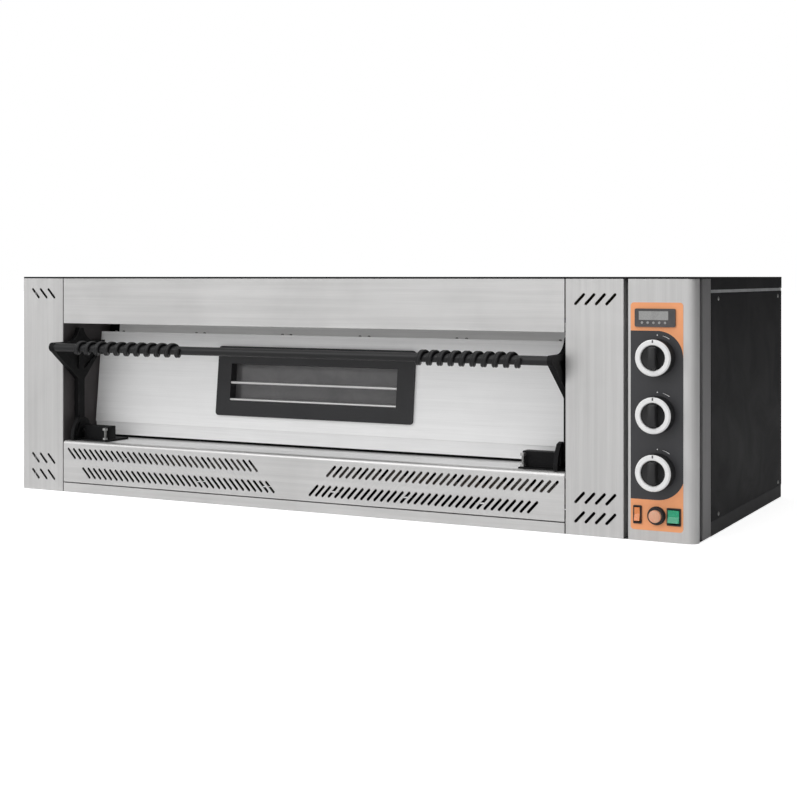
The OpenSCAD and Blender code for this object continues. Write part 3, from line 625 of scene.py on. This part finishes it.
def knob_finger_bar(node, centre):
    """A waisted bar with round ends, narrower towards its front."""
    half_w, half_l, back, front = 7.2 * MM, 18.3 * MM, 18.0 * MM, 31.5 * MM
    sides_power, ends_power, waist = 0.35, 0.55, 0.10
    count = 48
    rows = [(back, 1.0, 1.0), (back + (front - back) * 0.55, 0.97, 0.95),
            (front - 1.6 * MM, 0.90, 0.92), (front - 0.45 * MM, 0.84, 0.89), (front, 0.70, 0.84)]
    bm = bmesh.new()
    loops = []
    for depth, w, l in rows:
        loop = []
        for k in range(count):
            t = 2 * math.pi * k / count
            c, s = math.cos(t), math.sin(t)
            x = math.copysign(abs(c) ** sides_power, c) * half_w * w
            z = math.copysign(abs(s) ** ends_power, s) * half_l * l
            narrowed = 1 - waist * math.cos(math.pi * z / (2 * half_l)) ** 2
            loop.append(bm.verts.new(centre + Vector((x * narrowed, -depth, z))))
        loops.append(loop)
    loft(bm, loops)
    piece(f"{node}_finger_bar", bm, node, "knob_plastic", sharp=math.radians(50))


def knob_pointer(node, centre):
    """A short inlay at the top of the white ring's face."""
    half_w, low, high, back, front = 1.0, 22.7, 26.9, 24.45, 24.9
    bm = bmesh.new()
    slab(bm, centre + Vector((-half_w, -front, low)) * MM, centre + Vector((half_w, -back, high)) * MM,
         0.1 * MM)
    piece(f"{node}_pointer", bm, node, "display_plastic")


def build_knob(level):
    """Knob with a skirt and a finger bar; its pointer lies in the ring round it."""
    centre = middle(f"ring_{level}")
    centre.y = FRONT_Y
    for part in (knob_skirt, knob_finger_bar, knob_pointer):
        part(f"knob_{level}", centre)


def dial_marks():
    """Generic marks above each knob: a dot at the off position and a widening arc beside it."""
    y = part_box("overlay_charcoal")[0].y - 0.05 * MM
    dot = [(0, 0), (0.9, 0), (0.9, 0.10), (0, 0.12)]
    dot_up = 33.6 * MM
    for level in LEVELS:
        centre = middle(f"ring_{level}")
        bm = bmesh.new()
        lathe(bm, dot, Vector((centre.x, y, centre.z + dot_up)), count=20)
        arc(bm, centre, y, 33.0 * MM, 34.0 * MM, 14, 34)
        piece(f"dial_marks_{level}", bm, "casing", "ring_white")


def button():
    """Push button with a stem, a chamfered rim and a domed lens."""
    lo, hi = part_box("push_button")
    centre = middle("push_button")
    centre.y = FRONT_Y
    r = (hi.x - lo.x) / 2 / MM
    dome_r, dome_at, dome_h = r - 1.8, 12.4, 1.5
    profile = [(0, -18), (3.7, -18), (4, -17.6), (4, 5.6), (r - 0.3, 5.6), (r, 5.9), (r, 11.7),
               (r - 0.5, dome_at), (r - 1.6, 12.6)]
    for t in (0.15, 0.4, 0.7, 1.0, 1.3):
        profile.append((dome_r * math.cos(t), dome_at + dome_h * math.sin(t)))
    profile.append((0, 13.95))
    bm = bmesh.new()
    lathe(bm, profile, centre, count=56)
    piece("push_button_lens", bm, "push_button", "button_lens", "push_button")


def panel_screw_heads():
    """Socket heads and shanks of the screws in the side panels."""
    head_r, head_h, socket = 3.4 * MM, 1.2 * MM, 1.5 * MM
    shank = [(0, -3.7), (1.9, -3.7), (2.5, -3.1), (2.5, -0.02), (0, -0.02)]
    bm = bmesh.new()
    for lo, hi in solids_of("panel_screws"):
        outward = Vector((1, 0, 0)) if lo.x > 0 else Vector((-1, 0, 0))
        centre = (lo + hi) / 2
        centre.x = hi.x - head_h if lo.x > 0 else lo.x + head_h
        screw_head(bm, centre, outward, head_r, head_h, socket)
        lathe(bm, shank, centre, outward, 20)
    piece("panel_screw_heads", bm, "casing", "zinc", "panel_screws")


def door_screw_heads():
    """Socket heads that stand square to the leaning door's upper edge."""
    head_r, head_h, socket = 2.6 * MM, 2.5 * MM, 1.2 * MM
    up = Vector((0, math.sin(DOOR_LEAN), math.cos(DOOR_LEAN)))
    bm = bmesh.new()
    for lo, hi in solids_of("door_screws"):
        screw_head(bm, (lo + hi) / 2 - up * (head_h / 2), up, head_r, head_h, socket)
    piece("door_screw_heads", bm, "door", "zinc", "door_screws")


def hinge_bolt_studs():
    """Threaded stud, lock nut and hexagon head of each levelling bolt."""
    crest, root, pitch = 2.5, 2.1, 0.9
    nut_top, head_h = 4.0, 4.5
    nut = [(0, 0), (4.2, 0), (4.5, 0.4), (4.5, 3.6), (4.2, nut_top), (0, nut_top)]
    bm = bmesh.new()
    for lo, hi in solids_of("hinge_bolts"):
        foot = Vector(((lo.x + hi.x) / 2, (lo.y + hi.y) / 2, lo.z))
        top = (hi.z - lo.z) / MM
        head = [(0, top - head_h), (4.6, top - head_h), (5.0, top - 4.1), (5.0, top - 0.8),
                (4.3, top), (0, top)]
        for profile in (nut, head):
            lathe(bm, profile, foot, UP, 6)
        shank = [(0, 3.9)]
        h = nut_top + 0.1
        while h < top - head_h - pitch:
            shank += [(crest, h), (root, h + 0.35), (root, h + 0.45), (crest, h + 0.8)]
            h += pitch
        shank += [(crest, top - 4.4), (0, top - 4.3)]
        lathe(bm, shank, foot, UP, 24)
    piece("hinge_bolt_studs", bm, "casing", "zinc", "hinge_bolts", sharp=math.radians(30))


def display_keys():
    """Dished caps on the row of keys under the display."""
    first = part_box("display_bezel")[0] + Vector((11.7, 0.8, 6.4)) * MM
    keys, pitch = 5, 9 * MM
    cap = [(0, 0), (2.1, 0), (2.1, 0.6), (1.8, 0.9), (1.2, 0.88), (0, 0.82)]
    bm = bmesh.new()
    for i in range(keys):
        lathe(bm, cap, first + Vector((i * pitch, 0, 0)), count=24)
    piece("display_keys", bm, "casing", "lcd")


def gas_thread():
    """Pipe thread on the gas inlet, as a fine ridge wound over the CAD's plain spigot."""
    inlet = MOUNTS["gas_inlet"]
    r = inlet["dims"]["r_mm"] * MM
    x, z = middle("ring_top").x, inlet["pos_m"][2]  # straight behind the knobs
    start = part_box("rear_panel")[1].y + 3.2 * MM
    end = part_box("gas_manifold")[1].y - 1.5 * MM
    pitch, ridge_r, steps = 1.81 * MM, 0.42 * MM, 32
    points = []
    for i in range(int((end - start) / pitch * steps)):
        t = 2 * math.pi * i / steps
        points.append(Vector((x + r * math.cos(t), start + pitch * i / steps, z + r * math.sin(t))))
    bm = bmesh.new()
    sweep(bm, points, ridge_r, 6)
    piece("gas_inlet_thread", bm, "casing", "brass")


def lumpy(node, name, body):
    """A wool blanket in place of its plain CAD block: soft, slightly sunken faces."""
    mesh = NODES[node].data.copy()
    obj = bpy.data.objects.new(name, mesh)
    bpy.context.scene.collection.objects.link(obj)
    mesh.materials.clear()
    mesh.materials.append(MATERIALS["wool"])
    weld(obj)
    remesh = obj.modifiers.new("even_mesh", "REMESH")
    remesh.mode = "VOXEL"
    remesh.voxel_size = 6 * MM
    wave = bpy.data.textures.new(name, "CLOUDS")
    wave.noise_scale = 35 * MM
    sink = obj.modifiers.new("matted_surface", "DISPLACE")
    sink.texture = wave
    sink.texture_coords = "LOCAL"
    sink.strength = -4.5 * MM
    sink.mid_level = 0.0
    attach(obj, body)
    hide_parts(node)


# ---------------------------------------------------------------- stage

def stage_floor():
    """A plain pale floor, brighter to the camera than to the object."""
    half = 30.0
    corners = [(-half, -half, 0), (half, -half, 0), (half, half, 0), (-half, half, 0)]
    mesh = bpy.data.meshes.new("floor")
    mesh.from_pydata(corners, [], [(0, 1, 2, 3)])
    obj = bpy.data.objects.new("floor", mesh)
    bpy.context.scene.collection.objects.link(obj)
    g = Graph("floor")
    tone = g.mix(g.noise(3.0, 3.0), (0.90, 0.90, 0.90), (0.93, 0.93, 0.93))
    seen = g.add("ShaderNodeLightPath").outputs["Is Camera Ray"]
    g.glow(tone, g.remap(seen, 0.0, 1.0, 0.05, 0.8))
    mesh.materials.append(g.finish(tone, g.spread(g.noise(40.0), 0.7, 0.8)))
    obj.location.z = -0.5 * MM


def stage_world():
    """A studio that is plain white to the camera. To the object it is bright in front and above,
    and dimmer to the right and behind."""
    world = bpy.data.worlds.new("studio")
    bpy.context.scene.world = world
    world.use_nodes = True
    g = Nodes(world.node_tree)
    toward = g.add("ShaderNodeSeparateXYZ")
    g.put(toward.inputs["Vector"], g.add("ShaderNodeTexCoord").outputs["Generated"])
    front = g.remap(toward.outputs["Y"], 0.10, -0.75, 0.0, 0.86)
    above = g.remap(toward.outputs["Z"], 0.0, 0.9, 0.0, 0.25)
    right = g.remap(toward.outputs["X"], 0.0, 0.9, 0.0, -0.50)
    level = g.math("ADD", g.math("ADD", g.math("ADD", front, above), right), 0.06)
    shown = g.add("ShaderNodeMix")
    g.put(shown.inputs["Factor"], g.add("ShaderNodeLightPath").outputs["Is Camera Ray"])
    g.put(shown.inputs["A"], g.math("MAXIMUM", level, 0.015))
    g.put(shown.inputs["B"], 1.0)
    back = g.tree.nodes["Background"]
    g.put(back.inputs["Color"], (1, 1, 1, 1))
    g.put(back.inputs["Strength"], shown.outputs["Result"])


def soft_light(name, location, size, power):
    """A rectangular lamp that faces the middle of the oven."""
    target = Vector((0, 0, 0.2))
    light = bpy.data.lights.new(name, "AREA")
    light.shape = "RECTANGLE"
    light.size, light.size_y = size
    light.energy = power
    obj = bpy.data.objects.new(name, light)
    bpy.context.scene.collection.objects.link(obj)
    obj.location = location
    obj.rotation_euler = (target - Vector(location)).to_track_quat("-Z", "Y").to_euler()


def stage_camera():
    """The photo's viewpoint: in front and to the right, level, with the view shifted down."""
    data = bpy.data.cameras.new("camera")
    data.sensor_width = 36.0
    data.lens = 66.62
    data.shift_y = -0.154
    obj = bpy.data.objects.new("camera", data)
    bpy.context.scene.collection.objects.link(obj)
    obj.location = (1.270, -2.440, 0.400)
    obj.rotation_euler = (math.pi / 2, 0, math.radians(27.37))
    bpy.context.scene.camera = obj


# ---------------------------------------------------------------- build

stage_camera()
stage_world()
stage_floor()
soft_light("key", (-1.6, -3.4, 2.3), (2.4, 1.8), 26)
soft_light("top", (0.2, -0.6, 3.2), (3.5, 2.5), 26)

MATERIALS = {slot: make(slot, colour, **more) for slot, (make, colour, more) in RECIPES.items()}
for name, obj in NODES.items():
    material = MATERIALS[SLOT_OF[name]]
    if obj.material_slots:
        for slot in obj.material_slots:
            slot.material = material
    else:
        obj.data.materials.append(material)

for name in ("window_frame", "display_bezel", "rocker_frames"):
    round_edges(name, 0.6)
for name in ("left_arm", "right_arm", "hinge_brackets"):
    round_edges(name, 1.3)
round_edges("deck_stones", 2.0)

wound_grip("left_grip", 10.5)
wound_grip("right_grip", 9.5)
for level in LEVELS:
    build_knob(level)
dial_marks()
button()
panel_screw_heads()
door_screw_heads()
hinge_bolt_studs()
display_keys()
gas_thread()
lumpy("insulation_blanket", "insulation_wool", "casing")
lumpy("door_core", "door_wool", "door")

bpy.context.scene.view_settings.view_transform = "Standard"
